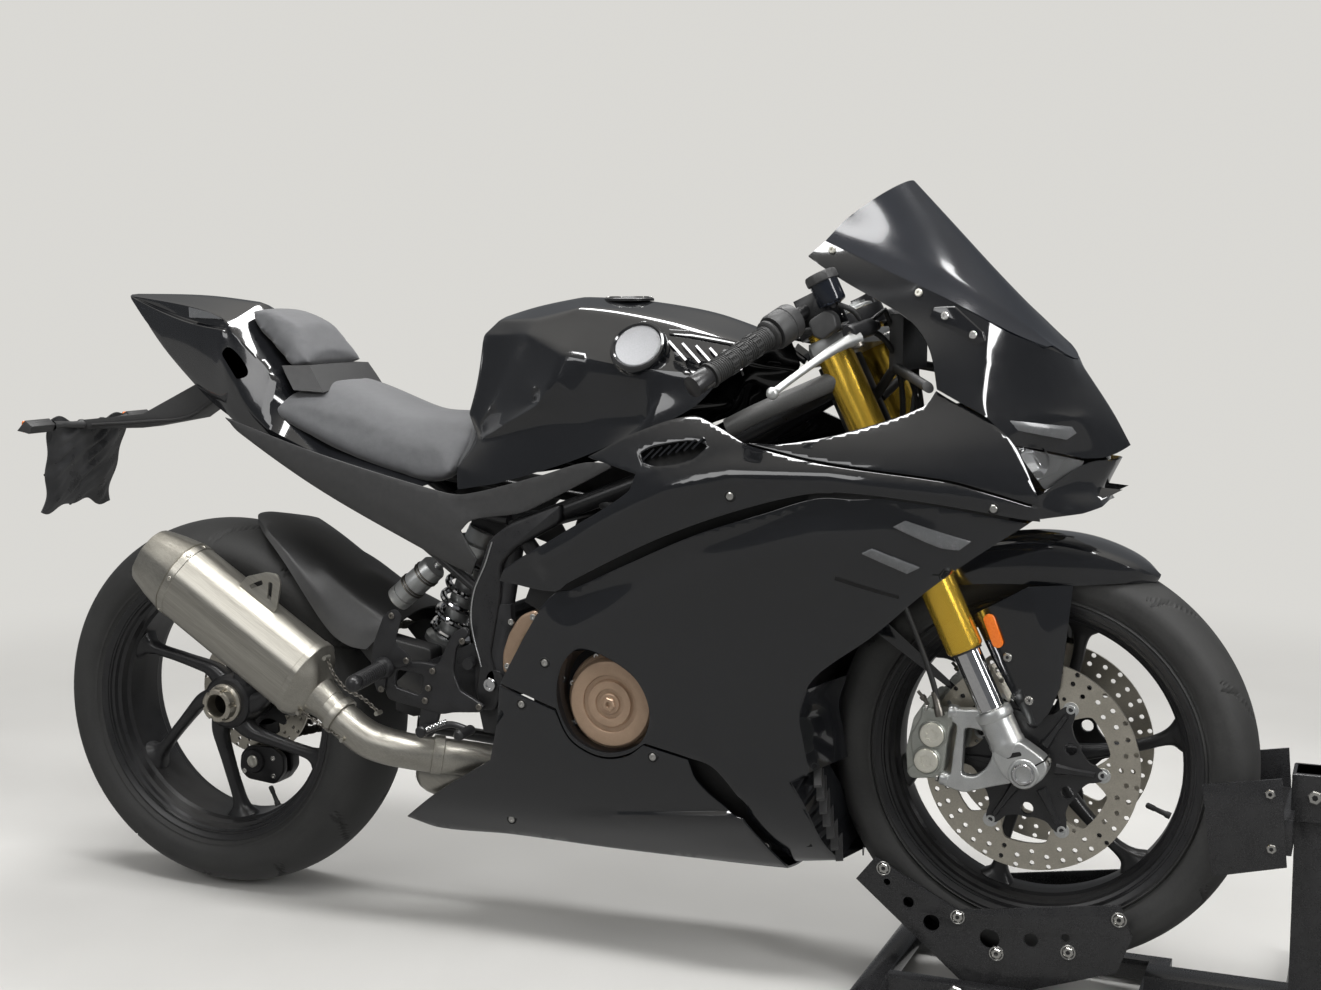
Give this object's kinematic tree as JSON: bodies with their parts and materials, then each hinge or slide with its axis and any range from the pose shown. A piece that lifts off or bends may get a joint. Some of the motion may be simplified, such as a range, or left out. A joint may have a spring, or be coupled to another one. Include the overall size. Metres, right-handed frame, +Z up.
{
  "type": "sport bike in a front wheel chock",
  "caption": "Full-fairing sport bike, black, with a single-sided swingarm, upside-down fork and side silencer, held upright by a steel chock at its front wheel.",
  "frame": {"origin": "on the floor under the middle of the bounding box", "axes": "+X forward, towards the chock's post; +Y to the rider's left; +Z up"},
  "size_m": [2.122, 0.6656, 1.1713],
  "materials": {
    "gloss_black": "gloss black paint on moulded panels",
    "matte_black": "satin grey-black moulding",
    "black_metal": "satin black coat",
    "chock_steel": "black powder coat",
    "seat_cover": "grained dark seat cover",
    "tyre_rubber": "matte tyre rubber",
    "black_rubber": "matte rubber",
    "gold": "gold anodised",
    "bright_steel": "polished hard chrome",
    "cast_silver": "satin cast silver",
    "bronze": "satin bronze coat",
    "brushed_can": "brushed stainless steel",
    "disc_steel": "ground brake disc steel",
    "engine_metal": "dark cast engine",
    "chain_steel": "oiled chain steel",
    "smoked": "dark smoked screen",
    "lamp": "clear lamp lens"
  },
  "bodies": {
    "root": {"frame": "black_metal", "engine": "engine_metal", "engine_covers": "bronze", "radiator": "black_metal", "fuel_tank": "gloss_black", "tail_cowl": "gloss_black", "seat": "seat_cover", "tail_pad": "seat_cover", "side_panels": "matte_black", "plate_hanger": "matte_black", "plate_bracket": "matte_black", "swingarm": "black_metal", "rear_caliper": "black_metal", "shock": "cast_silver", "hugger": "matte_black", "chain": "chain_steel", "silencer": "brushed_can", "exhaust_pipe": "brushed_can", "rearset_right": "black_metal", "rearset_left": "black_metal", "fairing_right": "gloss_black", "fairing_left": "gloss_black", "belly_pan": "gloss_black", "windscreen": "smoked", "nose_fairing": "gloss_black", "headlights": "lamp", "cockpit": "matte_black", "chock_cradle": "chock_steel", "chock_base": "chock_steel"},
    "rear_wheel": {"rear_rim": "black_metal", "rear_tyre": "tyre_rubber", "rear_disc": "disc_steel", "rear_sprocket": "chain_steel", "rear_nut": "disc_steel"},
    "steering": {"fork_tubes": "gold", "stanchions": "bright_steel", "fork_feet": "cast_silver", "front_axle": "bright_steel", "front_calipers": "cast_silver", "yokes": "cast_silver", "clip_ons": "black_metal", "grips": "black_rubber", "controls": "matte_black", "levers": "cast_silver", "front_fender": "gloss_black", "brake_hoses": "black_rubber"},
    "front_wheel": {"front_rim": "black_metal", "front_tyre": "tyre_rubber", "front_discs": "disc_steel"},
    "side_stand": {"side_stand": "black_metal"},
    "fuel_cap": {"fuel_cap": "black_metal"}
  },
  "joints": [
    {"name": "rear_wheel_spin", "type": "hinge", "parent": "root", "child": "rear_wheel", "pos_m": [-0.718, 0, 0.315], "axis": [0, 1, 0], "continuous": true},
    {"name": "steering", "type": "hinge", "parent": "root", "child": "steering", "pos_m": [0.62852, 0, 0.33825], "axis": [-0.4258, 0, 0.9048], "range_deg": [-3, 3]},
    {"name": "front_wheel_spin", "type": "hinge", "parent": "steering", "child": "front_wheel", "pos_m": [0.662, 0, 0.354], "axis": [0, 1, 0], "continuous": true},
    {"name": "side_stand_fold", "type": "hinge", "parent": "root", "child": "side_stand", "pos_m": [-0.198, 0.128, 0.25], "axis": [0, -0.9397, -0.342], "range_deg": [0, 100]},
    {"name": "fuel_cap_hinge", "type": "hinge", "parent": "root", "child": "fuel_cap", "pos_m": [0.066, 0, 0.9933], "axis": [0, 1, 0], "range_deg": [0, 95]}
  ]
}
